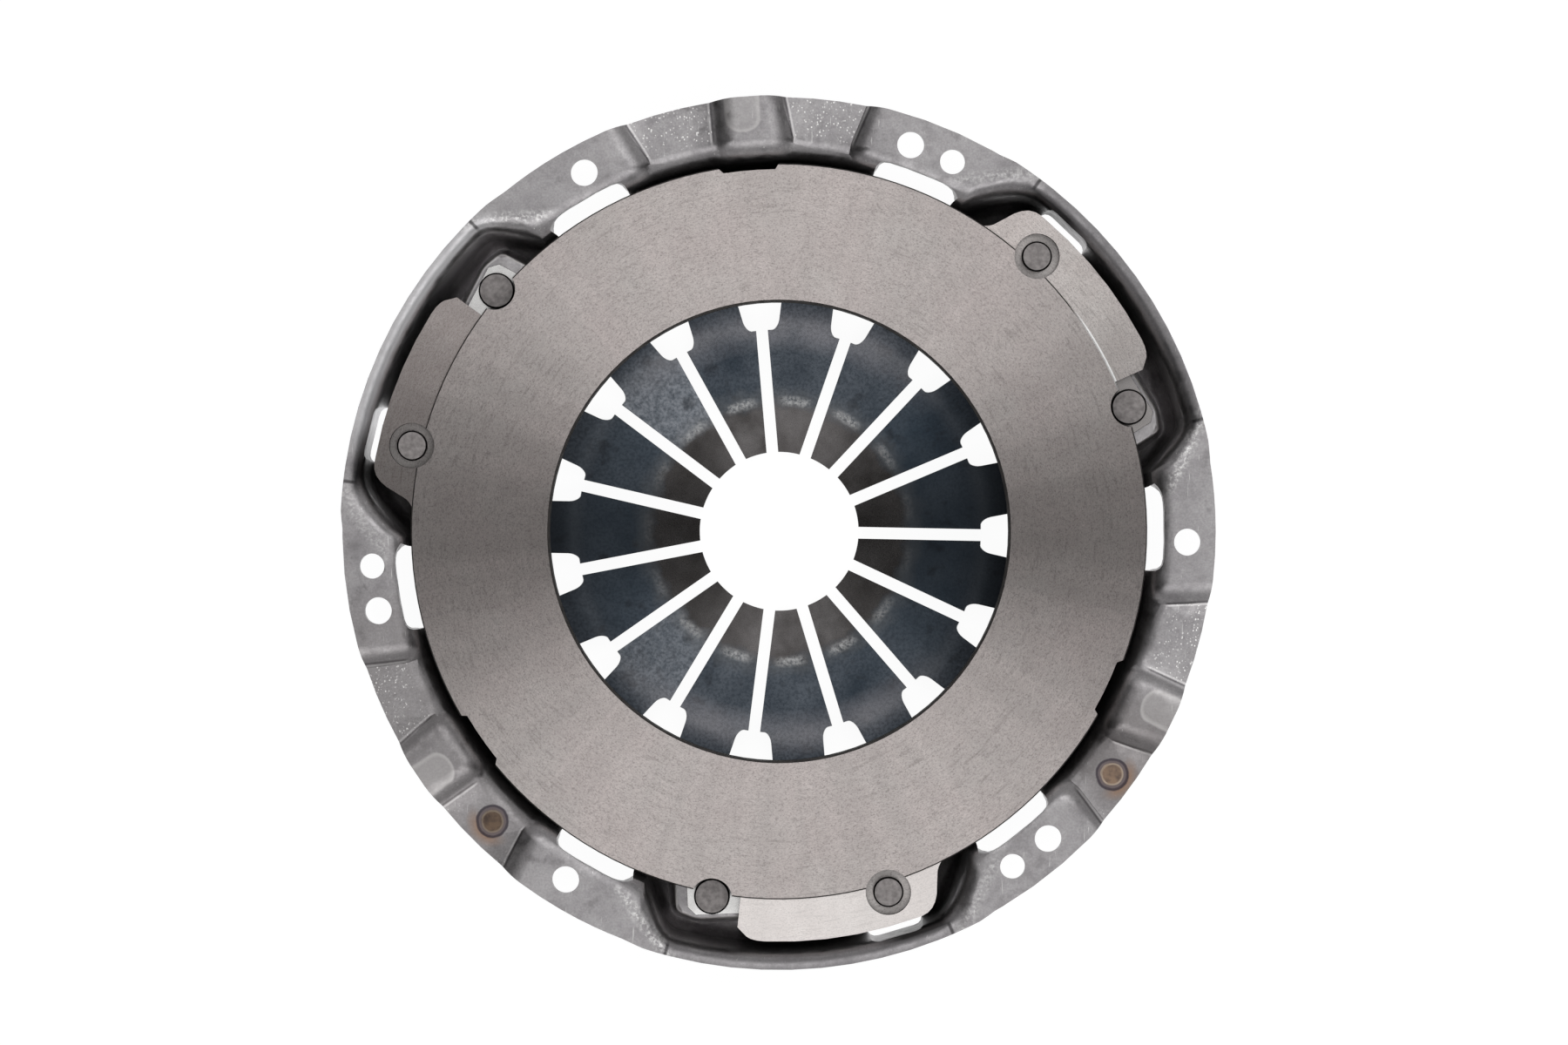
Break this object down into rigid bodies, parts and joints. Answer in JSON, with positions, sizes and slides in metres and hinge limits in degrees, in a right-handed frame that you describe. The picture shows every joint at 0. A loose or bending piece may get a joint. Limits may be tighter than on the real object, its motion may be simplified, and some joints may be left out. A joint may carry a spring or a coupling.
{
  "type": "clutch pressure plate",
  "caption": "Clutch cover assembly: stamped steel cover with a sliding cast iron pressure plate, slotted diaphragm spring, wire fulcrum rings and tangential drive straps.",
  "frame": {"origin": "centre of the bolt circle on the flange's mounting plane", "axes": "+Z along the axis towards the flywheel, +X towards the flange zone just beside a bolt hole, +Y a quarter turn on"},
  "size_m": [0.2783, 0.2784, 0.0381],
  "materials": {
    "cover_steel": "drawn mild steel sheet, oiled, with rolling speckle and scuffs",
    "plate_iron": "turned grey iron friction face, machined lugs",
    "spring_steel": "hardened and blued spring steel, peened, with browned finger tips",
    "ring_wire": "drawn wire",
    "rivet_steel": "dark cold headed steel",
    "strap_steel": "bright rolled spring strip",
    "weight_steel": "turned slug with weld tint"
  },
  "bodies": {
    "cover_body": {"cover": "cover_steel", "diaphragm_spring": "spring_steel", "fulcrum_ring_front": "ring_wire", "fulcrum_ring_rear": "ring_wire", "fulcrum_rivets": "rivet_steel", "strap_a_leaf_1": "strap_steel", "strap_a_leaf_2": "strap_steel", "strap_a_leaf_3": "strap_steel", "strap_b_leaf_1": "strap_steel", "strap_b_leaf_2": "strap_steel", "strap_b_leaf_3": "strap_steel", "strap_c_leaf_1": "strap_steel", "strap_c_leaf_2": "strap_steel", "strap_c_leaf_3": "strap_steel", "cover_strap_rivet_a": "rivet_steel", "cover_strap_rivet_b": "rivet_steel", "cover_strap_rivet_c": "rivet_steel", "balance_weight_a": "weight_steel", "balance_weight_b": "weight_steel"},
    "plate_body": {"pressure_plate": "plate_iron", "plate_strap_rivet_a": "rivet_steel", "plate_strap_rivet_b": "rivet_steel", "plate_strap_rivet_c": "rivet_steel"}
  },
  "joints": [
    {"name": "plate_travel", "type": "slide", "parent": "cover_body", "child": "plate_body", "axis": [0, 0, -1], "range_m": [0, 0.0048], "stiffness_N_per_m": 200000, "springref_m": -0.0005, "deforming": ["diaphragm_spring", "strap_a_leaf_1", "strap_a_leaf_2", "strap_a_leaf_3", "strap_b_leaf_1", "strap_b_leaf_2", "strap_b_leaf_3", "strap_c_leaf_1", "strap_c_leaf_2", "strap_c_leaf_3"]}
  ]
}
